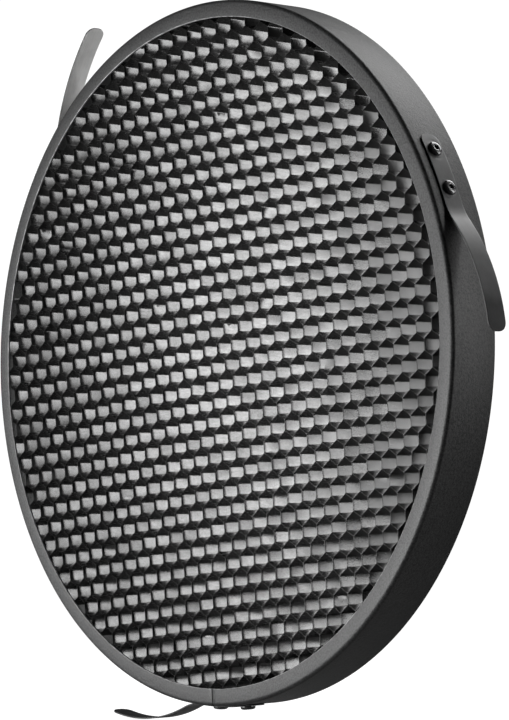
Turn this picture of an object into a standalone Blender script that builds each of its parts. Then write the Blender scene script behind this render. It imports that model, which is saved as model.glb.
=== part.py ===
"""Honeycomb grid for a large round reflector: a rolled sheet ring with a front lip that
holds a hexagonal foil core, and three riveted leaf springs that grip the reflector's mouth.

The ring's axis is Y. The front faces -Y, and Y = 0 is the rear rim that enters the
reflector. Angles are measured in the XZ plane from +X towards +Z.
"""

import math
from collections import namedtuple

import bmesh
import bpy
from mathutils import Matrix, Vector

# Ring: a rolled sheet band with a lip turned in at its front
RING_RADIUS = 0.2075
RING_DEPTH = 0.0323
SHEET = 0.0012
LIP_WIDTH = 0.0102
BEND_RADIUS = 0.0024
BEND_STEPS = 4
RING_STEPS = 96
SEAM_ANGLE = math.radians(-86.3)
SEAM_GAP = 0.0006

# Core: hexagonal cells at twice the real pitch, held between the lip and the rivets' tails
CORE_RADIUS = 0.2045
CORE_DEPTH = 0.0127
CORE_CLEARANCE = 0.0003
NOTCH_RADIUS = 0.0032
NOTCH_LENGTH = 0.0080
CELL_PITCH = 0.0264
CELL_WALL = 0.0005
CORE_RIM = 0.0005
CORE_TURN = math.radians(8.1)
CORE_STEPS = 96
CELL_REACH = 0.007

# Leaf springs
STRIP_WIDTH = 0.0132
STRIP_THICKNESS = 0.0008
STRIP_DEPTH = 0.0141
PIECE_GAP = 0.0003
BASE_OVERHANG = math.radians(2.9)
RIVET_STEP = math.radians(6.8)
STRIP_BEND_RADIUS = 0.0160
END_ROUND = 0.0054
BASE_COLUMNS = 26
ARM_COLUMNS = 28

# Blind rivets
HEAD_RADIUS = 0.0044
HEAD_HEIGHT = 0.0019
SHANK_RADIUS = 0.0020
HOLE_RADIUS = 0.0023
HOLE_CUT_LENGTH = 0.0072
TAIL_RADIUS = 0.0028
TAIL_LENGTH = 0.0028
BORE_RADIUS = 0.0013
POCKET_RADIUS = 0.0021
POCKET_DEPTH = 0.0012
MANDREL_RADIUS = 0.0009
MANDREL_HEAD_RADIUS = 0.0018
MANDREL_RECESS = 0.0006
RIVET_STEPS = 20
HOLE_STEPS = 20

# Seam plate inside the ring, under the lower spring
PLATE_THICKNESS = 0.0010
PLATE_WIDTH = 0.0132
PLATE_OVERHANG = math.radians(2.2)
PLATE_COLUMNS = 8

# Each spring: the angle of its first rivet, how far past it the bend starts, the slope at
# which the arm leaves the ring, and the arm's own radius and length
Spring = namedtuple("Spring", "name first_rivet bend_start slope arm_radius arm_length")
SPRINGS = (
    Spring("right", math.radians(32.1), math.radians(9.8), math.radians(22.0), 0.1135, 0.0712),
    Spring("left", math.radians(152.0), math.radians(10.1), math.radians(28.0), 0.1450, 0.0763),
    Spring("lower", math.radians(-82.0), math.radians(10.7), math.radians(29.6), 0.1150, 0.0770),
)
PLATED_SPRING = "lower"

BLACK_PAINT = (0.030, 0.031, 0.033)
CORE_PAINT = (0.045, 0.046, 0.048)
SPRING_STEEL = (0.110, 0.111, 0.114)
RIVET_PAINT = (0.050, 0.051, 0.053)
BRIGHT_STEEL = (0.300, 0.300, 0.305)


def collection(name):
    made = bpy.data.collections.new(name)
    bpy.context.scene.collection.children.link(made)
    return made


def material(name, colour, roughness, metallic):
    made = bpy.data.materials.new(name)
    made.use_nodes = True
    shader = made.node_tree.nodes["Principled BSDF"]
    shader.inputs["Base Color"].default_value = (*colour, 1.0)
    shader.inputs["Roughness"].default_value = roughness
    shader.inputs["Metallic"].default_value = metallic
    return made


def new_object(name, shape, group, look=None, smooth=False):
    """Make an object of a bmesh, with its faces turned outwards."""
    bmesh.ops.recalc_face_normals(shape, faces=shape.faces)
    mesh = bpy.data.meshes.new(name)
    shape.to_mesh(mesh)
    shape.free()
    if smooth:
        mesh.shade_smooth()
        mesh.set_sharp_from_angle(angle=math.radians(35))
    made = bpy.data.objects.new(name, mesh)
    group.objects.link(made)
    if look:
        mesh.materials.append(look)
    else:
        made.hide_render = True
        made.display_type = "WIRE"
    return made


def cut(target, cutter, operation="DIFFERENCE"):
    boolean = target.modifiers.new(cutter.name, "BOOLEAN")
    boolean.operation = operation
    boolean.solver = "EXACT"
    boolean.object = cutter


def polygon(shape, points):
    return shape.faces.new([shape.verts.new(point) for point in points])


def arc(centre, radius, start, end, steps):
    """Points of an arc in a section, from one angle to the other in degrees."""
    points = []
    for step in range(steps + 1):
        angle = math.radians(start + (end - start) * step / steps)
        points.append(
            (centre[0] + radius * math.cos(angle), centre[1] + radius * math.sin(angle))
        )
    return points


def ring_section():
    """The ring's section as (distance from the axis, Y) pairs."""
    lip_edge = RING_RADIUS - LIP_WIDTH
    bend_at = RING_RADIUS - BEND_RADIUS
    front, rear = -RING_DEPTH, 0.0
    outline = [(RING_RADIUS - SHEET, rear), (RING_RADIUS, rear)]
    outline += arc((bend_at, front + BEND_RADIUS), BEND_RADIUS, 0, -90, BEND_STEPS)
    outline += [(lip_edge, front), (lip_edge, front + SHEET)]
    outline += arc((bend_at, front + BEND_RADIUS), BEND_RADIUS - SHEET, -90, 0, 2)
    return outline


def make_ring(group, look):
    shape = bmesh.new()
    start = SEAM_ANGLE + SEAM_GAP / RING_RADIUS / 2
    sweep = 2 * math.pi - SEAM_GAP / RING_RADIUS
    section = [
        (reach * math.cos(start), y, reach * math.sin(start))
        for reach, y in ring_section()
    ]
    face = polygon(shape, section)
    bmesh.ops.spin(
        shape,
        geom=[face, *face.edges, *face.verts],
        cent=(0, 0, 0),
        axis=(0, -1, 0),
        angle=sweep,
        steps=RING_STEPS,
        use_duplicate=False,
    )
    return new_object("frame_ring", shape, group, look, smooth=True)


def add_disc(shape, radius, steps, low, high):
    """A cylinder along Y between two depths."""
    place = Matrix.Translation((0, (low + high) / 2, 0)) @ Matrix.Rotation(math.pi / 2, 4, "X")
    bmesh.ops.create_cone(
        shape,
        cap_ends=True,
        segments=steps,
        radius1=radius,
        radius2=radius,
        depth=high - low,
        matrix=place,
    )


def cell_centres():
    """Centres of the cells that reach inside the core's rim."""
    row_height = CELL_PITCH * math.sqrt(3) / 2
    count = int(CORE_RADIUS / row_height) + 2
    turn = Matrix.Rotation(-CORE_TURN, 3, "Y")
    centres = []
    for row in range(-count, count + 1):
        for column in range(-count, count + 1):
            offset = CELL_PITCH * (column + 0.5 * (row % 2))
            centre = turn @ Vector((offset, 0, row * row_height))
            if centre.length < CORE_RADIUS - CORE_RIM + CELL_REACH:
                centres.append(centre)
    return centres


def on_ring(angle, reach, depth):
    return Vector((reach * math.cos(angle), depth, reach * math.sin(angle)))


def rivet_angles():
    angles = []
    for spring in SPRINGS:
        angles += [spring.first_rivet, spring.first_rivet - RIVET_STEP]
    return angles


def make_radial_cutter(name, radius, reach, length, cutters):
    """A round bar along each rivet's axis, centred at a distance from the ring's axis."""
    shape = bmesh.new()
    for angle in rivet_angles():
        outward = on_ring(angle, 1.0, 0.0)
        middle = on_ring(angle, reach, STRIP_DEPTH - RING_DEPTH)
        place = Matrix.Translation(middle) @ outward.to_track_quat("Z", "Y").to_matrix().to_4x4()
        bmesh.ops.create_cone(
            shape,
            cap_ends=True,
            segments=HOLE_STEPS,
            radius1=radius,
            radius2=radius,
            depth=length,
            matrix=place,
        )
    return new_object(name, shape, cutters)


def make_core(group, cutters, look):
    low = SHEET + CORE_CLEARANCE - RING_DEPTH
    high = low + CORE_DEPTH
    overrun = SHEET

    shape = bmesh.new()
    add_disc(shape, CORE_RADIUS - CORE_RIM, CORE_STEPS, low - overrun, high + overrun)
    rim = new_object("core_rim_cutter", shape, cutters)

    shape = bmesh.new()
    corner = (CELL_PITCH - CELL_WALL) / math.sqrt(3)
    for centre in cell_centres():
        place = (
            Matrix.Translation(centre + Vector((0, (low + high) / 2, 0)))
            @ Matrix.Rotation(-CORE_TURN, 4, "Y")
            @ Matrix.Rotation(math.pi / 2, 4, "X")
        )
        bmesh.ops.create_cone(
            shape,
            cap_ends=True,
            segments=6,
            radius1=corner,
            radius2=corner,
            depth=high - low + overrun,
            matrix=place,
        )
    cells = new_object("core_cell_cutter", shape, cutters)
    cut(cells, rim, "INTERSECT")

    shape = bmesh.new()
    add_disc(shape, CORE_RADIUS, CORE_STEPS, low, high)
    core = new_object("honeycomb_core", shape, group, look, smooth=True)
    cut(core, cells)
    notches = make_radial_cutter(
        "tail_notch_cutter", NOTCH_RADIUS, CORE_RADIUS, NOTCH_LENGTH, cutters
    )
    cut(core, notches)


def strip_path(spring):
    """The spring's centreline, as a function that gives (X, Z) at a distance, and the bend's end.

    It follows the ring, bends away by the slope, then curves back along its arm.
    """
    reach = RING_RADIUS + PIECE_GAP + STRIP_THICKNESS / 2
    start = spring.first_rivet + BASE_OVERHANG
    lay = (BASE_OVERHANG + spring.bend_start) * reach
    bend = spring.slope * STRIP_BEND_RADIUS

    def point(along):
        turned = min(along, lay) / reach
        angle = start - turned
        spot = Vector((reach * math.cos(angle), reach * math.sin(angle)))
        heading = angle - math.pi / 2
        if along <= lay:
            return spot
        passed = min(along - lay, bend)
        centre = spot + STRIP_BEND_RADIUS * Vector((math.cos(angle), math.sin(angle)))
        heading += passed / STRIP_BEND_RADIUS
        side = Vector((math.sin(heading), -math.cos(heading)))
        spot = centre + STRIP_BEND_RADIUS * side
        if along <= lay + bend:
            return spot
        passed = along - lay - bend
        centre = spot + spring.arm_radius * side
        heading -= passed / spring.arm_radius
        return centre - spring.arm_radius * Vector((math.sin(heading), -math.cos(heading)))

    return point, lay + bend


def make_strip(name, path, start, end, columns, rounded, group, look):
    """A strip along a path between two distances. Rounded is the end with round corners."""
    shape = bmesh.new()
    bmesh.ops.create_grid(shape, x_segments=columns, y_segments=2, size=0.5)
    round_at = start if rounded == "start" else end
    for vertex in shape.verts:
        share = vertex.co.x + 0.5
        eased = share**1.6 if rounded == "start" else 1 - (1 - share) ** 1.6
        along = start + (end - start) * eased
        inside = max(0.0, END_ROUND - abs(along - round_at))
        narrowing = END_ROUND - math.sqrt(END_ROUND**2 - inside**2)
        half_width = STRIP_WIDTH / 2 - narrowing
        spot = path(along)
        depth = STRIP_DEPTH - RING_DEPTH + 2 * vertex.co.y * half_width
        vertex.co = (spot.x, depth, spot.y)
    made = new_object(name, shape, group, look, smooth=True)
    solidify = made.modifiers.new("thickness", "SOLIDIFY")
    solidify.thickness = STRIP_THICKNESS
    solidify.offset = 0.0
    solidify.use_even_offset = True
    return made


def make_seam_plate(first_rivet, group, look):
    """The curved plate that joins the ring's two ends from inside."""
    reach = RING_RADIUS - SHEET - PIECE_GAP - PLATE_THICKNESS / 2
    start = first_rivet + PLATE_OVERHANG
    sweep = RIVET_STEP + 2 * PLATE_OVERHANG
    shape = bmesh.new()
    bmesh.ops.create_grid(shape, x_segments=PLATE_COLUMNS, y_segments=1, size=0.5)
    for vertex in shape.verts:
        angle = start - sweep * (vertex.co.x + 0.5)
        depth = STRIP_DEPTH - RING_DEPTH + vertex.co.y * PLATE_WIDTH
        vertex.co = on_ring(angle, reach, depth)
    made = new_object("seam_plate", shape, group, look, smooth=True)
    solidify = made.modifiers.new("thickness", "SOLIDIFY")
    solidify.thickness = PLATE_THICKNESS
    solidify.offset = 0.0
    return made


def turned(name, profile, closed, group, look):
    """A piece turned about its own Z, from a profile that runs down its outer side."""
    shape = bmesh.new()
    vertices = [shape.verts.new((reach, 0, height)) for reach, height in profile]
    for first, second in zip(vertices, vertices[1:]):
        shape.edges.new((first, second))
    if closed:
        shape.edges.new((vertices[-1], vertices[0]))
    made = new_object(name, shape, group, look)
    screw = made.modifiers.new("turn", "SCREW")
    screw.steps = RIVET_STEPS
    screw.render_steps = RIVET_STEPS
    screw.use_merge_vertices = True
    screw.merge_threshold = 0.00001
    screw.use_smooth_shade = True
    return made


def rivet_levels(plated):
    """Heights from the ring's outer face: under the head, head top, tail top, tail end."""
    seat = 2 * PIECE_GAP + STRIP_THICKNESS
    tail_top = -SHEET - PIECE_GAP
    if plated:
        tail_top -= PLATE_THICKNESS + PIECE_GAP
    return seat, seat + HEAD_HEIGHT, tail_top, tail_top - TAIL_LENGTH


def make_rivet(name, angle, plated, group, looks):
    seat, top, tail_top, tail_end = rivet_levels(plated)
    dome = [
        (BORE_RADIUS, top),
        (0.60 * HEAD_RADIUS, seat + 0.88 * HEAD_HEIGHT),
        (0.85 * HEAD_RADIUS, seat + 0.58 * HEAD_HEIGHT),
        (HEAD_RADIUS, seat + 0.20 * HEAD_HEIGHT),
    ]
    body = dome + [
        (HEAD_RADIUS, seat),
        (SHANK_RADIUS, seat),
        (SHANK_RADIUS, tail_top),
        (TAIL_RADIUS, tail_top - 0.20 * TAIL_LENGTH),
        (TAIL_RADIUS, tail_end + 0.15 * TAIL_LENGTH),
        (0.90 * TAIL_RADIUS, tail_end),
        (POCKET_RADIUS, tail_end),
        (POCKET_RADIUS, tail_end + POCKET_DEPTH),
        (BORE_RADIUS, tail_end + POCKET_DEPTH),
    ]
    stub = [
        (0, top - MANDREL_RECESS),
        (MANDREL_RADIUS, top - MANDREL_RECESS),
        (MANDREL_RADIUS, tail_end + POCKET_DEPTH - PIECE_GAP),
        (MANDREL_HEAD_RADIUS, tail_end + POCKET_DEPTH - PIECE_GAP),
        (MANDREL_HEAD_RADIUS, tail_end + PIECE_GAP / 2),
        (0, tail_end + PIECE_GAP / 2),
    ]
    outward = on_ring(angle, 1.0, 0.0)
    turn = outward.to_track_quat("Z", "Y")
    seat_point = on_ring(angle, RING_RADIUS, STRIP_DEPTH - RING_DEPTH)
    for suffix, profile, closed, look in (
        ("", body, True, looks[0]),
        ("_mandrel", stub, False, looks[1]),
    ):
        made = turned(name + suffix, profile, closed, group, look)
        made.rotation_mode = "QUATERNION"
        made.rotation_quaternion = turn
        made.location = seat_point


def make_spring(spring, hole_cutter, group, looks):
    path, bend_end = strip_path(spring)
    base = make_strip(
        f"{spring.name}_clip_base", path, 0.0, bend_end, BASE_COLUMNS, "start", group, looks["spring"]
    )
    cut(base, hole_cutter)
    arm = make_strip(
        f"{spring.name}_clip_arm",
        path,
        bend_end + PIECE_GAP,
        bend_end + spring.arm_length,
        ARM_COLUMNS,
        "end",
        group,
        looks["spring"],
    )
    hinge = path(bend_end + PIECE_GAP / 2)
    centre = Vector((hinge.x, STRIP_DEPTH - RING_DEPTH, hinge.y))
    arm.data.transform(Matrix.Translation(-centre))
    arm.location = centre
    for number in (1, 2):
        make_rivet(
            f"{spring.name}_rivet_{number}",
            spring.first_rivet - (number - 1) * RIVET_STEP,
            spring.name == PLATED_SPRING,
            group,
            (looks["rivet"], looks["mandrel"]),
        )


def main():
    for old in list(bpy.data.objects):
        bpy.data.objects.remove(old, do_unlink=True)
    group = collection("honeycomb_grid")
    cutters = collection("cutters")
    looks = {
        "paint": material("ring_paint", BLACK_PAINT, 0.42, 0.0),
        "core": material("core_paint", CORE_PAINT, 0.35, 0.3),
        "spring": material("spring_steel", SPRING_STEEL, 0.38, 0.7),
        "rivet": material("rivet_paint", RIVET_PAINT, 0.35, 0.3),
        "mandrel": material("mandrel_steel", BRIGHT_STEEL, 0.35, 1.0),
        "plate": material("plate_steel", BLACK_PAINT, 0.50, 0.0),
    }
    hole_cutter = make_radial_cutter(
        "rivet_hole_cutter", HOLE_RADIUS, RING_RADIUS, HOLE_CUT_LENGTH, cutters
    )
    ring = make_ring(group, looks["paint"])
    cut(ring, hole_cutter)
    make_core(group, cutters, looks["core"])
    for spring in SPRINGS:
        make_spring(spring, hole_cutter, group, looks)
        if spring.name == PLATED_SPRING:
            plate = make_seam_plate(spring.first_rivet, group, looks["plate"])
            cut(plate, hole_cutter)


main()
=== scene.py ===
"""Studio scene of a honeycomb grid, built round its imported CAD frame.

The ring's axis is Y, the front faces -Y, and Y = 0 is the ring's rear edge. Angles are
measured in the XZ plane from +X towards +Z. Lengths are in metres.
"""

import math
from collections import namedtuple

import bmesh
import bpy
import numpy as np
from mathutils import Matrix, Vector


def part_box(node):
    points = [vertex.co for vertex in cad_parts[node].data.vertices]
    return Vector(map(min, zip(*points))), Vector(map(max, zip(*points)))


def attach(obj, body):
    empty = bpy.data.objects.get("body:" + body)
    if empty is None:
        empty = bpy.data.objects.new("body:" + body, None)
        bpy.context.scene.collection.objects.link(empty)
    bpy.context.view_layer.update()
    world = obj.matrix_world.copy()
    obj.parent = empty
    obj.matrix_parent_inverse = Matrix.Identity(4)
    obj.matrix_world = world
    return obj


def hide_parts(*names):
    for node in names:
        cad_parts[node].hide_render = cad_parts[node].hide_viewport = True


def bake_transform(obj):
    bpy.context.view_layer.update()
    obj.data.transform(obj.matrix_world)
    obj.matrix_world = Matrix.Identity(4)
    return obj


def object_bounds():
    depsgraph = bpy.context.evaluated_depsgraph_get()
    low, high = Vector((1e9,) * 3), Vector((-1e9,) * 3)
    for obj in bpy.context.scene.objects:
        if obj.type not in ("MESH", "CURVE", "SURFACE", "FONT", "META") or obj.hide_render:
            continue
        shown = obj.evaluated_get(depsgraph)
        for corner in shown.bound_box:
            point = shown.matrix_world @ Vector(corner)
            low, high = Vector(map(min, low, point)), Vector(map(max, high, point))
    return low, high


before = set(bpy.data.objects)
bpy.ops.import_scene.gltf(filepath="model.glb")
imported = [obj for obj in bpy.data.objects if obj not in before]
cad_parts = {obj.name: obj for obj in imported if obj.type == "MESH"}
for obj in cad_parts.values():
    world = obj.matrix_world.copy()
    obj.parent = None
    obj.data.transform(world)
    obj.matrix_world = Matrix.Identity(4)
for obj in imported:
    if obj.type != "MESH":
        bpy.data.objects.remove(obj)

CAD_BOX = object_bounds()
SHARP_ANGLE = math.radians(38)
RING_LOW, RING_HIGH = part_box("frame_ring")
CORE_LOW, CORE_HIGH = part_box("honeycomb_core")

# Ring
RING_RADIUS = (RING_HIGH.x - RING_LOW.x) / 2
RING_DEPTH = RING_HIGH.y - RING_LOW.y
SHEET = 0.0012
LIP_WIDTH = 0.0102
BEND_RADIUS = 0.0024
EDGE_ROUND = 0.0003
RING_BEVEL = 0.0002
RING_BEVEL_ANGLE = math.radians(60)
RING_STEPS = 360
RING_WOBBLE = 0.00012
# Painted shade: over this span of Y the band's shine is dimmed towards its rear edge, down to
# REAR_SHINE
REAR_SHADE_SPAN = (-0.031, -0.001)
REAR_SHINE = 0.45
WORN_EDGE = (0.00035, 0.0001)
SEAM_ANGLE = math.radians(-86.3)
SEAM_GAP = 0.0006
SEAM_CLOSING = 0.85

# Honeycomb foil, in shares of the ring's radius down to NODE_WALL
CELL_ROW = (0.06226, 0.00861)
ROW_STEP = (-0.00504, 0.05048)
CELL_ORIGIN = (0.0320, 0.1622)
STRETCH_X = (-0.0497, 0.0356, -0.0074)
STRETCH_Z = (-0.0113, -0.0461, -0.0066)
NODE_WALL = 0.0316
FOIL = 0.00013
BOND_SPREAD = 1.04
CREASE = 0.0005
FRONT_WANDER = 0.00011
REAR_WANDER = 0.00014
BULGE = 0.00005
DEPTH_CUTS = 3
DULL_SIDE = (0.090, 0.190)
DULL_SIDE_ROUGHNESS = 0.15
# Painted light and shade on the foil: over these radii its shine is raised in the middle and
# lowered towards the ring
SHINE_FADE = (0.03, 0.16)
SHINE_SHARE = (1.28, 0.95)
TAIL_ROOM = 0.0046
TAIL_NOTCH = 0.0034
# Painted shade: the slanted free walls get this tone, which cuts their shine
SHADED_FREE_WALL_TONE = -0.5
CUT_EDGE_TONE = -1.0

# Leaf springs
STRIP_WIDTH = 0.0132
STRIP_THICKNESS = 0.0008
STRIP_DEPTH = 0.0141
PIECE_GAP = 0.0003
CONTACT_GAP = 0.00005
BASE_OVERHANG = math.radians(2.9)
RIVET_STEP = math.radians(6.8)
CAD_BEND_RADIUS = 0.0160
WIDER_BEND = 0.0140
END_ROUND = 0.0054
STRIP_STEP = 0.0008
STRIP_ROWS = 16
STRIP_EDGE = 0.00016
STRIP_EDGE_ANGLE = math.radians(50)
DIMPLE_RADIUS = 0.0057
DIMPLE_WIDTH = 0.0007
DIMPLE_DEPTH = 0.00012
FLEX_LENGTH = 0.014
# Painted shade: along the strip over this span, the spring coat's shine falls towards the free end
TIP_SHADE_SPAN = (0.072, 0.108)

Spring = namedtuple("Spring", "name first_rivet bend_start slope arm_radius arm_length")
SPRINGS = (
    Spring("right", math.radians(32.1), math.radians(9.8), math.radians(22.0), 0.1135, 0.0712),
    Spring("left", math.radians(152.0), math.radians(10.1), math.radians(28.0), 0.1450, 0.0763),
    Spring("lower", math.radians(-82.0), math.radians(10.7), math.radians(29.6), 0.1150, 0.0770),
)
PLATED_SPRING = "lower"

# Blind rivets
HEAD_RADIUS = 0.0044
HEAD_HEIGHT = 0.0019
HEAD_CROWN = 0.0018
HEAD_FULLNESS = 0.8
FLANGE = 0.00032
SHANK_RADIUS = 0.0020
HOLE_RADIUS = 0.0023
TAIL_RADIUS = 0.0028
TAIL_LENGTH = 0.0028
BORE_RADIUS = 0.0015
POCKET_RADIUS = 0.0021
POCKET_DEPTH = 0.0012
MANDREL_RADIUS = 0.0009
MANDREL_HEAD_RADIUS = 0.0018
MANDREL_RECESS = 0.0022
TORN_DROP = (-0.00012, 0.00006)
RIVET_STEPS = 56

# Seam plate inside the ring
PLATE_THICKNESS = 0.0010
PLATE_WIDTH = 0.0132
PLATE_OVERHANG = math.radians(2.2)
PLATE_ROUND = 0.0016
PLATE_ROWS = 8

random = np.random.default_rng(7)


# Meshes


def new_object(name, mesh, materials=()):
    made = bpy.data.objects.new(name, mesh)
    bpy.context.scene.collection.objects.link(made)
    for look in materials:
        mesh.materials.append(look)
    return made


def shape_object(name, shape, materials=()):
    """An object of a bmesh, with its faces turned outwards and shaded smooth."""
    bmesh.ops.recalc_face_normals(shape, faces=shape.faces)
    mesh = bpy.data.meshes.new(name)
    shape.to_mesh(mesh)
    shape.free()
    mesh.shade_smooth()
    mesh.set_sharp_from_angle(angle=SHARP_ANGLE)
    return new_object(name, mesh, materials)


def modifier(piece, kind, **settings):
    made = piece.modifiers.new(kind.lower(), kind)
    for key, value in settings.items():
        setattr(made, key, value)


def soften_edges(piece, width, angle):
    """Round the edges that are sharper than the angle."""
    modifier(piece, "BEVEL", width=width, segments=2, limit_method="ANGLE", angle_limit=angle)


def cut_rivet_holes(piece):
    """Cut the rivets' holes and make the result of all modifiers the piece's own mesh."""
    cutter = rivet_cutter()
    modifier(piece, "BOOLEAN", operation="DIFFERENCE", solver="EXACT", object=cutter)
    graph = bpy.context.evaluated_depsgraph_get()
    mesh = bpy.data.meshes.new_from_object(piece.evaluated_get(graph))
    piece.modifiers.clear()
    piece.data = mesh
    mesh.shade_smooth()
    mesh.set_sharp_from_angle(angle=SHARP_ANGLE)
    bpy.data.objects.remove(cutter, do_unlink=True)


def arc(centre, radius, start, end, steps):
    """Points of an arc in a section, from one angle to the other in degrees."""
    points = []
    for step in range(steps + 1):
        angle = math.radians(start + (end - start) * step / steps)
        points.append(
            (centre[0] + radius * math.cos(angle), centre[1] + radius * math.sin(angle))
        )
    return points


def on_ring(angle, reach, depth):
    """The point at an angle round the ring's axis, a distance from it and a Y."""
    return Vector((reach * math.cos(angle), depth, reach * math.sin(angle)))


def rivet_angles(spring):
    return (spring.first_rivet, spring.first_rivet - RIVET_STEP)


def rivet_cutter():
    """Round bars on every rivet's axis, through the springs, the ring and the plate."""
    shape = bmesh.new()
    for spring in SPRINGS:
        for angle in rivet_angles(spring):
            outward = on_ring(angle, 1.0, 0.0)
            middle = on_ring(angle, RING_RADIUS, STRIP_DEPTH - RING_DEPTH)
            turn = outward.to_track_quat("Z", "Y").to_matrix().to_4x4()
            bmesh.ops.create_cone(
                shape,
                cap_ends=True,
                segments=32,
                radius1=HOLE_RADIUS,
                radius2=HOLE_RADIUS,
                depth=6 * SHEET,
                matrix=Matrix.Translation(middle) @ turn,
            )
    return shape_object("rivet_cutter", shape)


# Ring


def ring_section():
    """The ring's section as (distance from the axis, Y) pairs, with its cut edges rounded."""
    lip_edge = RING_RADIUS - LIP_WIDTH
    bend_at = RING_RADIUS - BEND_RADIUS
    front, rear = -RING_DEPTH, 0.0
    inner, small = RING_RADIUS - SHEET, EDGE_ROUND
    outline = arc((inner + small, rear - small), small, 180, 90, 3)
    outline += arc((RING_RADIUS - small, rear - small), small, 90, 0, 3)
    outline += arc((bend_at, front + BEND_RADIUS), BEND_RADIUS, 0, -90, 10)
    outline += arc((lip_edge + small, front + small), small, -90, -180, 3)
    outline += arc((lip_edge + small, front + SHEET - small), small, 180, 90, 3)
    outline += arc((bend_at, front + BEND_RADIUS), BEND_RADIUS - SHEET, -90, 0, 5)
    return outline


def make_ring(look):
    """The rolled strip, with its ends closing in behind the lip.

    It is not quite round. The wobble only ever pulls inwards, so that nothing outgrows the CAD.
    """
    shape = bmesh.new()
    start = SEAM_ANGLE + SEAM_GAP / RING_RADIUS / 2
    corners = [shape.verts.new(on_ring(start, reach, y)) for reach, y in ring_section()]
    face = shape.faces.new(corners)
    bmesh.ops.spin(
        shape,
        geom=[face, *face.edges, *face.verts],
        cent=(0, 0, 0),
        axis=(0, -1, 0),
        angle=2 * math.pi - SEAM_GAP / RING_RADIUS,
        steps=RING_STEPS,
        use_duplicate=False,
    )
    for vertex in shape.verts:
        angle = math.atan2(vertex.co.z, vertex.co.x)
        off_seam = angle - SEAM_ANGLE
        if abs(off_seam) < SEAM_GAP / RING_RADIUS and vertex.co.y > BEND_RADIUS - RING_DEPTH:
            angle -= SEAM_CLOSING * off_seam
            vertex.co = on_ring(angle, math.hypot(vertex.co.x, vertex.co.z), vertex.co.y)
        wave = math.sin(2 * angle + 0.5) + 0.6 * math.sin(5 * angle + 1.9)
        inward = 1 - RING_WOBBLE * (1.6 - wave) / 2 / RING_RADIUS
        vertex.co.x *= inward
        vertex.co.z *= inward
    ring = shape_object("rolled_ring", shape, [look])
    soften_edges(ring, RING_BEVEL, RING_BEVEL_ANGLE)
    cut_rivet_holes(ring)
    return ring


# Honeycomb foil


def stretched(points):
    """Positions in metres of points given in shares of the radius on the even grid."""
    x, z = points[..., 0], points[..., 1]
    terms = (x * x, x * z, z * z)
    moved_x = x + sum(k * t for k, t in zip(STRETCH_X, terms))
    moved_z = z + sum(k * t for k, t in zip(STRETCH_Z, terms))
    return np.stack([moved_x, moved_z], axis=-1) * RING_RADIUS


def ribbon_corners(ribbon, rows, wander):
    """The corners of one foil ribbon that zigzags up the core, at its front and rear edges."""
    row, up = np.array(CELL_ROW), np.array(ROW_STEP)
    side = row / np.hypot(*row)
    upright = np.array([-side[1], side[0]])
    front, rear = [], []
    for r in rows:
        right_of = (ribbon + r) % 2 == 0
        column = ribbon if right_of else ribbon + 1
        middle = np.array(CELL_ORIGIN) + row * (column / 2 - 0.5) + up * r
        for end in (-1, 1):
            key = (column, int(r), end)
            if key not in wander:
                wander[key] = random.normal(size=4)
            noise = wander[key]
            bond = side * FOIL / 2 * (1 if right_of else -1) * BOND_SPREAD
            corner = stretched(middle + upright * NODE_WALL * end / 2) + bond
            front.append(corner + FRONT_WANDER * noise[:2])
            towards_ring = 0.6 + 0.6 * middle @ middle
            rear.append(front[-1] + REAR_WANDER * towards_ring * noise[2:])
    return np.array(front), np.array(rear)


def rounded_corners(corners):
    """The path with each inner corner replaced by three points of a short curve."""
    before = corners[:-2] - corners[1:-1]
    after = corners[2:] - corners[1:-1]
    before /= np.linalg.norm(before, axis=1)[:, None]
    after /= np.linalg.norm(after, axis=1)[:, None]
    start = corners[1:-1] + before * CREASE
    stop = corners[1:-1] + after * CREASE
    middle = (start + stop) / 4 + corners[1:-1] / 2
    return np.stack([start, middle, stop], axis=1).reshape(-1, 2)


def sideways(path):
    """Unit vectors square to a path at each of its points."""
    along = np.gradient(path, axis=0)
    along /= np.linalg.norm(along, axis=1)[:, None]
    return np.stack([-along[:, 1], along[:, 0]], axis=1)


def rear_edge(path):
    """The foil's rear edge at each point of a path, notched where a rivet's tail stands."""
    clear = np.ones(len(path), bool)
    for spring in SPRINGS:
        for angle in rivet_angles(spring):
            out = np.array([math.cos(angle), math.sin(angle)])
            across = np.abs(path[:, 0] * out[1] - path[:, 1] * out[0])
            along = path @ out
            clear &= (across > TAIL_ROOM) | (along < RING_RADIUS - 3 * TAIL_LENGTH)
    return np.where(clear, CORE_HIGH.y, STRIP_DEPTH - RING_DEPTH - TAIL_NOTCH)


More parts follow.
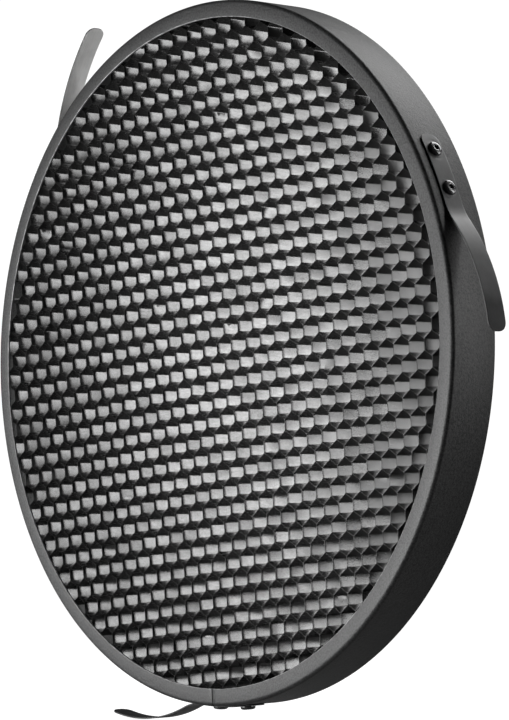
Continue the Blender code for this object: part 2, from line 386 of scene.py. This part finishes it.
def add_run(points, faces, tones, front, rear, wall_tones):
    """One unbroken stretch of ribbon, as a closed strip with a thickness."""
    count = len(front)
    at = sum(len(block) for block in points)
    bulge = BULGE * np.repeat(random.normal(size=count // 3 + 2), 3)[:count]
    rear_y = rear_edge(front)
    layers = []
    for layer in range(DEPTH_CUTS + 1):
        share = layer / DEPTH_CUTS
        path = front * (1 - share) + rear * share
        out = sideways(path)
        path = path + out * (bulge * math.sin(math.pi * share))[:, None]
        y = CORE_LOW.y * (1 - share) + rear_y * share
        for sign in (1, -1):
            placed = path + out * (sign * FOIL / 2)
            layers.append(np.stack([placed[:, 0], y, placed[:, 1]], axis=1))
    points.append(np.concatenate(layers))

    def add_face(tone, *corners):
        """Each corner is the number of its layer, its side (0 or 1) and its place along."""
        faces.append([at + (2 * layer + side) * count + i for layer, side, i in corners])
        tones.append(tone)

    last = DEPTH_CUTS
    for i in range(count - 1):
        j = i + 1
        for layer in range(DEPTH_CUTS):
            deeper = layer + 1
            add_face(wall_tones[i], (layer, 0, i), (layer, 0, j), (deeper, 0, j), (deeper, 0, i))
            add_face(wall_tones[i], (layer, 1, j), (layer, 1, i), (deeper, 1, i), (deeper, 1, j))
        add_face(CUT_EDGE_TONE, (0, 0, j), (0, 0, i), (0, 1, i), (0, 1, j))
        add_face(CUT_EDGE_TONE, (last, 0, i), (last, 0, j), (last, 1, j), (last, 1, i))
    end = count - 1
    for layer in range(DEPTH_CUTS):
        deeper = layer + 1
        add_face(wall_tones[0], (layer, 0, 0), (deeper, 0, 0), (deeper, 1, 0), (layer, 1, 0))
        add_face(
            wall_tones[end], (layer, 1, end), (deeper, 1, end), (deeper, 0, end), (layer, 0, end)
        )


def make_core(look):
    """Expanded foil: ribbons side by side, bonded in pairs along their node walls.

    The rows and columns of cells cover more than the core, and are cut off at its edge. Every
    second wall of a ribbon is bonded and has a tone of its own. The others are free walls.
    """
    limit = (CORE_HIGH.x - CORE_LOW.x) / 2
    reach = int(1.15 / ROW_STEP[1]) + 4
    columns = int(2.3 / CELL_ROW[0])
    rows = np.arange(-reach, reach + 1)
    wander, points, faces, tones = {}, [], [], []
    for ribbon in range(-columns, columns + 1):
        corners_front, corners_rear = ribbon_corners(ribbon, rows, wander)
        front, rear = rounded_corners(corners_front), rounded_corners(corners_rear)
        walls = random.beta(4.0, 1.5, size=len(front) // 3 + 1)
        # Painted shade: the free walls get a fixed tone that gives them less shine
        walls[1::2] = SHADED_FREE_WALL_TONE
        wall_tones = np.repeat(walls, 3)[1:]
        index = np.flatnonzero(np.hypot(front[:, 0], front[:, 1]) < limit)
        for run in np.split(index, np.flatnonzero(np.diff(index) > 1) + 1):
            if len(run) > 2:
                add_run(points, faces, tones, front[run], rear[run], wall_tones[run])
    mesh = bpy.data.meshes.new("foil_honeycomb")
    mesh.from_pydata(np.concatenate(points).tolist(), [], faces)
    tone = mesh.attributes.new("tone", "FLOAT", "FACE")
    tone.data.foreach_set("value", np.array(tones, np.float32))
    mesh.shade_smooth()
    mesh.set_sharp_from_angle(angle=math.radians(45))
    return new_object("foil_honeycomb", mesh, [look])


# Leaf springs and seam plate


def strip_path(spring):
    """The spring's centreline, as a function that gives (X, Z) at a distance, and its marks.

    It follows the ring, bends away by the slope, then curves back along its arm. The marks
    are the distances at which the bend starts and ends, and the strip's length. The bend is
    wider than the CAD's. It starts earlier and ends later, so that the arm stays in place.
    """
    reach = RING_RADIUS + CONTACT_GAP + STRIP_THICKNESS / 2
    start = spring.first_rivet + BASE_OVERHANG
    wider = WIDER_BEND * math.tan(spring.slope / 2)
    lay = (BASE_OVERHANG + spring.bend_start) * reach - wider
    bend = spring.slope * CAD_BEND_RADIUS + 2 * wider
    radius = bend / (spring.slope - wider / reach - wider / spring.arm_radius)

    def point(along):
        angle = start - min(along, lay) / reach
        spot = Vector((reach * math.cos(angle), reach * math.sin(angle)))
        heading = angle - math.pi / 2
        if along <= lay:
            return spot
        passed = min(along - lay, bend)
        centre = spot + radius * Vector((math.cos(angle), math.sin(angle)))
        heading += passed / radius
        side = Vector((math.sin(heading), -math.cos(heading)))
        spot = centre + radius * side
        if along <= lay + bend:
            return spot
        passed = along - lay - bend
        centre = spot + spring.arm_radius * side
        heading -= passed / spring.arm_radius
        return centre - spring.arm_radius * Vector((math.sin(heading), -math.cos(heading)))

    return point, lay, lay + bend, lay + bend + spring.arm_length - wider


def end_stations(length, rounding, step):
    """Distances along a strip: close together over its round ends, even between them."""
    turn = [rounding * (1 - math.cos(math.pi / 2 * i / 8)) for i in range(9)]
    middle = np.linspace(rounding, length - rounding, int(length / step))[1:-1]
    return [*turn, *middle.tolist(), *(length - t for t in reversed(turn))]


def narrowing(along, length, rounding):
    """How much a strip with round corners is narrower, on each side, at a distance along."""
    inside = max(0.0, rounding - min(along, length - along))
    return rounding - math.sqrt(max(0.0, rounding**2 - inside**2))


def make_band(name, length, width, rounding, place, rows, thickness, materials, rim=0):
    """A flat strip with round corners, laid along a path, with a thickness and soft edges.

    Place gives the position of a point from its distance along and its offset across. Rim
    is the number of the material on the strip's edges. The strip's UV map is its flat shape.
    """
    shape = bmesh.new()
    layer = shape.loops.layers.uv.new("strip")
    stations = end_stations(length, rounding, STRIP_STEP)
    grid, flat = [], {}
    for along in stations:
        half = width / 2 - narrowing(along, length, rounding)
        line = []
        for row in range(rows + 1):
            across = half * (2 * row / rows - 1)
            vertex = shape.verts.new(place(along, across))
            flat[vertex] = (along, across)
            line.append(vertex)
        grid.append(line)
    for before, after in zip(grid, grid[1:]):
        for row in range(rows):
            face = shape.faces.new((before[row], after[row], after[row + 1], before[row + 1]))
            for loop in face.loops:
                loop[layer].uv = flat[loop.vert]
    mesh = bpy.data.meshes.new(name)
    shape.to_mesh(mesh)
    shape.free()
    made = new_object(name, mesh, materials)
    modifier(
        made,
        "SOLIDIFY",
        thickness=thickness,
        offset=0.0,
        use_even_offset=True,
        material_offset=1,
        material_offset_rim=rim,
    )
    soften_edges(made, STRIP_EDGE, STRIP_EDGE_ANGLE)
    cut_rivet_holes(made)
    return made


def make_spring(spring, materials):
    """One leaf spring, dimpled round its rivets, that bends where its arm begins."""
    path, lay, bend_end, length = strip_path(spring)
    reach = RING_RADIUS + CONTACT_GAP + STRIP_THICKNESS / 2
    rivets = [(BASE_OVERHANG + number * RIVET_STEP) * reach for number in (0, 1)]

    def place(along, across):
        spot = path(along)
        dip = 0.0
        for rivet in rivets:
            distance = math.hypot(along - rivet, across)
            dip += DIMPLE_DEPTH * math.exp(-(((distance - DIMPLE_RADIUS) / DIMPLE_WIDTH) ** 2))
        spot = spot * (1 - dip / spot.length)
        return (spot.x, STRIP_DEPTH - RING_DEPTH + across, spot.y)

    strip = make_band(
        f"{spring.name}_leaf_spring",
        length,
        STRIP_WIDTH,
        END_ROUND,
        place,
        STRIP_ROWS,
        STRIP_THICKNESS,
        materials,
        rim=2,
    )
    start, end = place(lay, 0.0), place(bend_end + FLEX_LENGTH, 0.0)
    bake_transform(strip)
    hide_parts(f"{spring.name}_clip_base", f"{spring.name}_clip_arm")
    return strip


def make_seam_plate(spring, look):
    """The joining plate inside the ring, held by the spring's two rivets."""
    reach = RING_RADIUS - SHEET - PIECE_GAP - PLATE_THICKNESS / 2
    start = spring.first_rivet + PLATE_OVERHANG
    length = (RIVET_STEP + 2 * PLATE_OVERHANG) * reach

    def place(along, across):
        return on_ring(start - along / reach, reach, STRIP_DEPTH - RING_DEPTH + across)

    return make_band(
        "joining_plate",
        length,
        PLATE_WIDTH,
        PLATE_ROUND,
        place,
        PLATE_ROWS,
        PLATE_THICKNESS,
        [look],
    )


# Rivets


def turned_piece(name, profile, look):
    """A piece turned about its own Z from a closed or axis-to-axis profile."""
    shape = bmesh.new()
    corners = [shape.verts.new((reach, 0, height)) for reach, height in profile]
    edges = [shape.edges.new(pair) for pair in zip(corners, corners[1:])]
    if profile[0][0] > 0:
        edges.append(shape.edges.new((corners[-1], corners[0])))
    bmesh.ops.spin(
        shape,
        geom=[*corners, *edges],
        cent=(0, 0, 0),
        axis=(0, 0, 1),
        angle=2 * math.pi,
        steps=RIVET_STEPS,
        use_duplicate=False,
    )
    bmesh.ops.remove_doubles(shape, verts=shape.verts, dist=1e-6)
    return shape_object(name, shape, [look])


def head_profile(seat):
    """The domed head, from its bore over the crown and down to its flange."""
    top = seat + HEAD_HEIGHT
    points = [(BORE_RADIUS, top - 0.00025), (BORE_RADIUS + 0.00008, top - 0.00008)]
    for step in range(11):
        angle = math.pi / 2 * step / 10
        reach = HEAD_CROWN + (HEAD_RADIUS - HEAD_CROWN) * math.sin(angle) ** HEAD_FULLNESS
        rise = (HEAD_HEIGHT - FLANGE) * max(0.0, math.cos(angle)) ** HEAD_FULLNESS
        points.append((reach, seat + FLANGE + rise))
    points += [(HEAD_RADIUS - 0.00003, seat + 0.00012), (HEAD_RADIUS - 0.00018, seat)]
    return points


def tail_profile(top, end):
    """The tail that the mandrel has spread, and the pocket for the mandrel's head."""
    bulge = [(SHANK_RADIUS, top)]
    for step in range(1, 8):
        angle = math.pi * step / 8
        swell = SHANK_RADIUS + (TAIL_RADIUS - SHANK_RADIUS) * math.sin(angle) ** 0.6
        bulge.append((swell, top + (end - top) * (0.5 - 0.5 * math.cos(angle))))
    pocket = end + POCKET_DEPTH
    return bulge + [
        (POCKET_RADIUS + 0.0002, end),
        (POCKET_RADIUS, end),
        (POCKET_RADIUS, pocket),
        (BORE_RADIUS, pocket),
    ]


def mandrel_profile(top, end):
    """The mandrel's stub, from its torn end down to its head."""
    torn = top - MANDREL_RECESS
    head = end + POCKET_DEPTH - PIECE_GAP
    return [
        (0.0, torn + 0.0001),
        (0.4 * MANDREL_RADIUS, torn - 0.00012),
        (0.75 * MANDREL_RADIUS, torn + 0.00010),
        (0.95 * MANDREL_RADIUS, torn - 0.00005),
        (MANDREL_RADIUS, torn - 0.0003),
        (MANDREL_RADIUS, head),
        (MANDREL_HEAD_RADIUS - 0.0002, head),
        (MANDREL_HEAD_RADIUS, head - 0.0002),
        (MANDREL_HEAD_RADIUS, end + 0.0004),
        (0.8 * MANDREL_HEAD_RADIUS, end + PIECE_GAP / 2),
        (0.0, end + PIECE_GAP / 2),
    ]


def tear(stub, height):
    """Make a mandrel's end uneven above a height."""
    for vertex in stub.data.vertices:
        if vertex.co.z > height:
            vertex.co.z += random.uniform(*TORN_DROP)


def make_rivets(spring, rivet_look, mandrel_look):
    """A spring's two blind rivets, each with its mandrel's stub."""
    seat = 2 * CONTACT_GAP + STRIP_THICKNESS
    tail_top = -SHEET - PIECE_GAP
    if spring.name == PLATED_SPRING:
        tail_top -= PLATE_THICKNESS + PIECE_GAP
    tail_end = tail_top - TAIL_LENGTH
    body = head_profile(seat) + [(SHANK_RADIUS, seat)] + tail_profile(tail_top, tail_end)
    stub = mandrel_profile(seat + HEAD_HEIGHT, tail_end)
    for number, angle in enumerate(rivet_angles(spring), start=1):
        outward = on_ring(angle, 1.0, 0.0)
        spot = on_ring(angle, RING_RADIUS, STRIP_DEPTH - RING_DEPTH)
        spin = Matrix.Rotation(random.uniform(0, 2 * math.pi), 4, "Z")
        turn = outward.to_track_quat("Z", "Y").to_matrix().to_4x4() @ spin
        name, node = f"{spring.name}_blind_rivet_{number}", f"{spring.name}_rivet_{number}"
        rivet = turned_piece(name, body, rivet_look)
        mandrel = turned_piece(f"{name}_mandrel", stub, mandrel_look)
        tear(mandrel, seat + HEAD_HEIGHT - 1.25 * MANDREL_RECESS)
        for piece in (rivet, mandrel):
            piece.data.transform(Matrix.Translation(spot) @ turn)
        fix_to_frame(rivet, node)
        fix_to_frame(mandrel, f"{node}_mandrel")


# Materials


NOISE_RANGE = (0.3, 0.7)


class Look:
    """A procedural material: a Principled shader and the nodes that drive it."""

    def __init__(self, name, roughness, metallic=0.0, specular=0.5):
        self.material = bpy.data.materials.new(name)
        self.material.use_nodes = True
        self.tree = self.material.node_tree
        self.shader = self.tree.nodes["Principled BSDF"]
        self.shader.inputs["Roughness"].default_value = roughness
        self.shader.inputs["Metallic"].default_value = metallic
        self.shader.inputs["Specular IOR Level"].default_value = specular
        self.place = self.node("ShaderNodeTexCoord").outputs["Object"]

    def node(self, kind, inputs=None, **settings):
        made = self.tree.nodes.new(kind)
        for key, value in settings.items():
            setattr(made, key, value)
        for key, value in (inputs or {}).items():
            self.feed(made.inputs[key], value)
        return made

    def feed(self, socket, value):
        """Link a socket to a node's output, or give it a fixed value."""
        if isinstance(value, bpy.types.NodeSocket):
            self.tree.links.new(value, socket)
        else:
            socket.default_value = value

    def noise(self, scale, detail=2.0, roughness=0.55, stretch=(1, 1, 1), vector=None):
        """Noise from 0 to 1. Its scale is in cells per metre."""
        spot = self.node(
            "ShaderNodeMapping", {"Vector": vector or self.place, "Scale": stretch}
        ).outputs["Vector"]
        made = self.node(
            "ShaderNodeTexNoise",
            {"Vector": spot, "Scale": scale, "Detail": detail, "Roughness": roughness},
        )
        return made.outputs["Fac"]

    def remap(self, value, low, high, to_low=0.0, to_high=1.0, **settings):
        """Move the range from low to high onto another one, and stop at its ends."""
        ends = {"From Min": low, "From Max": high, "To Min": to_low, "To Max": to_high}
        made = self.node("ShaderNodeMapRange", {"Value": value, **ends}, **settings)
        return made.outputs["Result"]

    def spread(self, value, to_low, to_high):
        """The middle range of a noise, moved onto another range."""
        return self.remap(value, *NOISE_RANGE, to_low, to_high)

    def math(self, operation, *values):
        return self.node("ShaderNodeMath", dict(enumerate(values)), operation=operation).outputs[0]

    def blend(self, factor, first, second):
        """From the first colour to the second. Either may be a tuple or come from a node."""
        made = self.node("ShaderNodeMix", {0: factor}, data_type="RGBA")
        for key, value in ((6, first), (7, second)):
            self.feed(made.inputs[key], (*value, 1.0) if isinstance(value, tuple) else value)
        return made.outputs[2]

    def mottle(self, pattern, colour, darker, lighter):
        """A colour that varies with a noise, between two shares of itself."""
        low = tuple(channel * darker for channel in colour)
        high = tuple(channel * lighter for channel in colour)
        return self.blend(pattern, low, high)

    def from_axis(self):
        """The distance from the ring's axis."""
        flat = self.node(
            "ShaderNodeVectorMath", {0: self.place, 1: (1, 0, 1)}, operation="MULTIPLY"
        )
        reach = self.node("ShaderNodeVectorMath", {0: flat.outputs[0]}, operation="LENGTH")
        return reach.outputs["Value"]

    def bump(self, height, strength, distance):
        made = self.node(
            "ShaderNodeBump", {"Height": height, "Strength": strength, "Distance": distance}
        )
        self.feed(self.shader.inputs["Normal"], made.outputs["Normal"])

    def set(self, socket, value):
        self.feed(self.shader.inputs[socket], value)


def ring_paint():
    """Satin powder coat: a fine grain, a slow mottle, and thin wear on the lip's cut edge."""
    look = Look("satin_powder_coat", 0.5)
    grain = look.noise(900.0, detail=4.0, roughness=0.7)
    patches = look.spread(look.noise(35.0, detail=5.0), 0.0, 1.0)
    base = look.mottle(patches, (0.0085, 0.0086, 0.0088), 0.82, 1.22)
    lip_edge = RING_RADIUS - LIP_WIDTH
    at_edge = look.remap(look.from_axis(), *(lip_edge + offset for offset in WORN_EDGE))
    patchy = look.remap(look.noise(260.0, detail=4.0), 0.35, 0.6, 0.25, 1.0)
    worn = look.math("MULTIPLY", at_edge, patchy)
    look.set("Base Color", look.blend(worn, base, (0.20, 0.20, 0.202)))
    look.set("Metallic", look.math("MULTIPLY", worn, 0.9))
    look.set("Roughness", look.remap(grain, 0.25, 0.75, 0.44, 0.66))
    speckle = look.remap(grain, 0.38, 0.62, 0.22, 0.60)
    # Painted shade: the shine is dimmed towards the ring's rear edge.
    depth = look.node("ShaderNodeSeparateXYZ", {0: look.place}).outputs["Y"]
    rear_shade = look.remap(depth, *REAR_SHADE_SPAN, 1.0, REAR_SHINE)
    look.set("Specular IOR Level", look.math("MULTIPLY", speckle, rear_shade))
    look.bump(look.math("ADD", grain, look.noise(420.0, detail=2.0)), 0.8, 0.00014)
    return look.material


def foil():
    """Black-coated foil, half glossy, with rolled streaks and a fine grain.

    Each wall's tone says how dull it is. The free walls are given less shine than the bonded
    ones, as painted shade, and the cut edges least. Painted light and shade also raise the shine
    in the middle and lower it towards the ring. The coat is duller towards the right side.
    """
    look = Look("black_coated_foil", 0.18)
    tone = look.node("ShaderNodeAttribute", attribute_name="tone").outputs["Fac"]
    streak = look.noise(900.0, detail=3.0, stretch=(1, 0.25, 1))
    cloud = look.spread(look.noise(160.0, detail=3.0), 0.0, 1.0)
    base = look.mottle(cloud, (0.0040, 0.0040, 0.0038), 0.75, 1.2)
    at_cut = look.remap(tone, SHADED_FREE_WALL_TONE, CUT_EDGE_TONE)
    look.set("Base Color", look.blend(at_cut, base, (0.017, 0.017, 0.0165)))
    rightward = look.node("ShaderNodeSeparateXYZ", {0: look.place}).outputs["X"]
    dull_side = look.remap(rightward, *DULL_SIDE, 0.0, DULL_SIDE_ROUGHNESS)
    dull = look.math("ADD", look.remap(tone, 0.2, 0.9, 0.06, 0.0), dull_side)
    look.set("Roughness", look.math("ADD", look.remap(streak, 0.25, 0.75, 0.16, 0.23), dull))
    # Painted shade: the free walls shine less than the bonded walls.
    shine = look.remap(tone, CUT_EDGE_TONE, 0.0, 0.08, 0.55)
    # Painted light and shade: more shine in the middle, less towards the ring.
    fade = look.remap(look.from_axis(), *SHINE_FADE, *SHINE_SHARE)
    look.set("Specular IOR Level", look.math("MULTIPLY", shine, fade))
    grain = look.noise(2600.0, detail=2.0)
    look.bump(look.math("MULTIPLY_ADD", streak, 0.35, grain), 0.15, 0.00003)
    return look.material


def strip_noise(look, along, across, detail=3.0):
    """Streaks that run along a strip, by its own flat coordinates."""
    flat = look.node("ShaderNodeUVMap", uv_map="strip").outputs["UV"]
    return look.noise(1.0, detail=detail, stretch=(along, across, 1), vector=flat)


def spring_coat():
    """The springs' outer side: a thin dark coat, with painted shade that cuts its shine towards
    the free end.
    """
    look = Look("spring_dark_coat", 0.36)
    flat = look.node("ShaderNodeUVMap", uv_map="strip").outputs["UV"]
    along = look.node("ShaderNodeSeparateXYZ", {0: flat}).outputs["X"]
    # Painted shade: the shine falls off along the strip towards the free end.
    look.set("Specular IOR Level", look.remap(along, *TIP_SHADE_SPAN, 0.26, 0.04))
    smudge = look.spread(look.noise(110.0, detail=4.0), 0.0, 1.0)
    look.set("Base Color", look.mottle(smudge, (0.018, 0.0182, 0.0187), 0.75, 1.35))
    streak = strip_noise(look, 60.0, 2600.0)
    look.set("Roughness", look.spread(streak, 0.38, 0.48))
    look.bump(streak, 0.10, 0.00003)
    return look.material


def spring_steel():
    """The springs' inner side: bare spring steel, brushed along its length."""
    look = Look("spring_bare_steel", 0.5, metallic=0.8)
    streak = strip_noise(look, 40.0, 2200.0, detail=4.0)
    smudge = look.noise(90.0, detail=4.0)
    level = look.math("MULTIPLY", look.spread(streak, 0.88, 1.1), look.spread(smudge, 0.86, 1.08))
    look.set("Base Color", look.blend(level, (0.0, 0.0, 0.0), (0.72, 0.717, 0.71)))
    look.set("Roughness", look.spread(streak, 0.46, 0.60))
    look.bump(streak, 0.12, 0.00003)
    return look.material


def shaded_spring_edge():
    """The springs' sheared edges, painted near black as the shade of the gap beside them, rough
    and almost without shine.
    """
    look = Look("spring_edge_painted_shade", 0.55, specular=0.35)
    torn = look.noise(1500.0, detail=3.0)
    # Painted shade: the near-black colour stands for the shadow in the gap along the strip's edge.
    look.set("Base Color", look.mottle(torn, (0.009, 0.009, 0.0093), 0.7, 2.2))
    look.set("Roughness", look.spread(torn, 0.5, 0.75))
    look.bump(torn, 0.3, 0.00004)
    return look.material


def rivet_paint():
    """Glossy black rivet, rubbed thin where the setting tool pressed."""
    look = Look("rivet_black", 0.24, specular=0.46)
    scuff = look.remap(look.noise(900.0, detail=4.0), 0.6, 0.75)
    look.set("Base Color", look.blend(scuff, (0.018, 0.018, 0.0185), (0.07, 0.07, 0.072)))
    look.set("Roughness", look.spread(look.noise(600.0, detail=3.0), 0.19, 0.27))
    look.bump(look.noise(700.0, detail=2.0), 0.05, 0.00003)
    return look.material


def mandrel_steel():
    """The torn steel end of the mandrel, dull and uneven."""
    look = Look("torn_mandrel_steel", 0.5, metallic=0.5)
    rough = look.noise(2600.0, detail=4.0)
    look.set("Base Color", look.blend(rough, (0.015, 0.015, 0.016), (0.09, 0.09, 0.092)))
    look.set("Roughness", look.spread(rough, 0.38, 0.65))
    look.bump(rough, 0.5, 0.00008)
    return look.material


def plate_coat():
    """Black coated sheet of the joining plate, with a slight mottle."""
    look = Look("plate_black_coat", 0.5)
    patches = look.noise(180.0, detail=5.0)
    look.set("Base Color", look.mottle(patches, (0.03, 0.0305, 0.032), 0.6, 1.6))
    look.set("Roughness", look.spread(patches, 0.42, 0.6))
    look.bump(look.noise(900.0, detail=2.0), 0.2, 0.00004)
    return look.material


# Pieces


def fix_to_frame(piece, node):
    """Fix a piece to the frame's body, and hide the CAD node that it replaces."""
    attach(piece, "frame")
    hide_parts(node)


fix_to_frame(make_ring(ring_paint()), "frame_ring")
fix_to_frame(make_core(foil()), "honeycomb_core")

coat, steel, edge = spring_coat(), spring_steel(), shaded_spring_edge()
rivet_look, mandrel_look = rivet_paint(), mandrel_steel()
for spring in SPRINGS:
    inner = coat if spring.name == PLATED_SPRING else steel
    make_spring(spring, [coat, inner, edge])
    make_rivets(spring, rivet_look, mandrel_look)
    if spring.name == PLATED_SPRING:
        fix_to_frame(make_seam_plate(spring, plate_coat()), "seam_plate")


# Camera, its position in radii of the ring from the middle of the front

CAMERA_RIGHT = Vector((0.651313, 0.758581, 0.018618))
CAMERA_UP = Vector((0.0, -0.024535, 0.999699))
CAMERA_REACH = Vector((6.18804, -5.12199, -0.14805))
SENSOR_WIDTH = 36.0
LENS = 141.54
CLIP_RANGE = (0.05, 50.0)

camera_data = bpy.data.cameras.new("camera")
camera_data.sensor_width = SENSOR_WIDTH
camera_data.lens = LENS
camera_data.clip_start, camera_data.clip_end = CLIP_RANGE
camera = bpy.data.objects.new("camera", camera_data)
bpy.context.scene.collection.objects.link(camera)
axes = Matrix((CAMERA_RIGHT, CAMERA_UP, CAMERA_RIGHT.cross(CAMERA_UP))).transposed()
spot = CAMERA_REACH * RING_RADIUS - Vector((0, RING_DEPTH, 0))
camera.matrix_world = Matrix.Translation(spot) @ axes.to_4x4()
bpy.context.scene.camera = camera


# Light: softboxes round the object, in a dim surround that the camera sees as white

SURROUND_BRIGHT = 0.11
SURROUND_DARK = 0.02
DARK_SIDE = (0.93, -0.37, 0.0)
DARK_RANGE = (-1.0, 0.4)
BACKDROP = 1.05
Softbox = namedtuple("Softbox", "name direction distance width height radiance")
SOFTBOXES = (
    Softbox("side_strip_box", (0.732, 0.641, 0.225), 0.90, 0.095, 0.70, 19.0),
    Softbox("rear_fill_box", (0.46, 0.86, 0.20), 1.00, 0.34, 0.40, 3.0),
    Softbox("overhead_box", (0.03, 0.66, 0.75), 1.00, 0.55, 0.55, 8.0),
    Softbox("front_left_box", (-0.36, -0.88, -0.33), 0.72, 0.60, 0.52, 28.0),
)


def make_world():
    """The surround, darkest on the camera's side, and the white backdrop."""
    world = bpy.data.worlds.new("studio")
    bpy.context.scene.world = world
    world.use_nodes = True
    nodes, links = world.node_tree.nodes, world.node_tree.links
    nodes.clear()
    toward = nodes.new("ShaderNodeVectorMath")
    toward.operation = "DOT_PRODUCT"
    toward.inputs[1].default_value = DARK_SIDE
    links.new(nodes.new("ShaderNodeTexCoord").outputs["Generated"], toward.inputs[0])
    dim = nodes.new("ShaderNodeMapRange")
    dim.interpolation_type = "SMOOTHSTEP"
    dim.inputs["From Min"].default_value, dim.inputs["From Max"].default_value = DARK_RANGE
    dim.inputs["To Min"].default_value = SURROUND_BRIGHT
    dim.inputs["To Max"].default_value = SURROUND_DARK
    links.new(toward.outputs["Value"], dim.inputs["Value"])
    surround = nodes.new("ShaderNodeBackground")
    links.new(dim.outputs["Result"], surround.inputs["Strength"])
    backdrop = nodes.new("ShaderNodeBackground")
    backdrop.inputs["Strength"].default_value = BACKDROP
    for side in (surround, backdrop):
        side.inputs["Color"].default_value = (1, 1, 1, 1)
    mix = nodes.new("ShaderNodeMixShader")
    links.new(nodes.new("ShaderNodeLightPath").outputs["Is Camera Ray"], mix.inputs[0])
    links.new(surround.outputs[0], mix.inputs[1])
    links.new(backdrop.outputs[0], mix.inputs[2])
    links.new(mix.outputs[0], nodes.new("ShaderNodeOutputWorld").inputs["Surface"])


def add_softbox(box):
    """A rectangular light that faces the object, upright, with its width level."""
    data = bpy.data.lights.new(box.name, "AREA")
    data.shape = "RECTANGLE"
    data.size, data.size_y = box.width, box.height
    data.energy = math.pi * box.width * box.height * box.radiance
    lamp = bpy.data.objects.new(box.name, data)
    bpy.context.scene.collection.objects.link(lamp)
    lamp.visible_camera = False
    way = Vector(box.direction).normalized()
    lamp.location = Vector((0, -RING_DEPTH / 2, 0)) + way * box.distance
    lamp.rotation_mode = "QUATERNION"
    lamp.rotation_quaternion = way.to_track_quat("Z", "Y")


make_world()
for box in SOFTBOXES:
    add_softbox(box)


# Floor

FLOOR_GAP = 0.001
FLOOR_RADIUS = 0.9
FLOOR_FADE = (0.45, 0.873)
FLOOR_GLOW = 0.95


def make_floor():
    """A pale disc under the object that fades into the white surround."""
    shape = bmesh.new()
    bmesh.ops.create_circle(shape, cap_ends=True, segments=96, radius=FLOOR_RADIUS)
    floor = shape_object("floor", shape)
    floor.location = (0, -RING_DEPTH / 2, CAD_BOX[0][2] - FLOOR_GAP)
    look = Look("pale_floor", 0.9, specular=0.1)
    tone = look.noise(9.0, detail=3.0)
    look.set("Base Color", look.blend(tone, (0.28, 0.28, 0.28), (0.31, 0.31, 0.31)))
    look.bump(look.noise(240.0), 0.05, 0.0002)
    seen = look.node("ShaderNodeLightPath").outputs["Is Camera Ray"]
    strength = look.math("MULTIPLY", seen, FLOOR_GLOW)
    glow = look.node("ShaderNodeEmission", {"Color": (1, 1, 1, 1), "Strength": strength})
    lit = look.node("ShaderNodeAddShader", {0: look.shader.outputs[0], 1: glow.outputs[0]})
    clear = look.node("ShaderNodeBsdfTransparent")
    reach = look.node("ShaderNodeVectorMath", {0: look.place}, operation="LENGTH").outputs["Value"]
    fade = look.remap(reach, *FLOOR_FADE, interpolation_type="SMOOTHSTEP")
    cover = look.node("ShaderNodeMixShader", {0: fade, 1: lit.outputs[0], 2: clear.outputs[0]})
    look.feed(look.tree.nodes["Material Output"].inputs["Surface"], cover.outputs[0])
    floor.data.materials.append(look.material)


make_floor()

bpy.context.scene.view_settings.view_transform = "Standard"
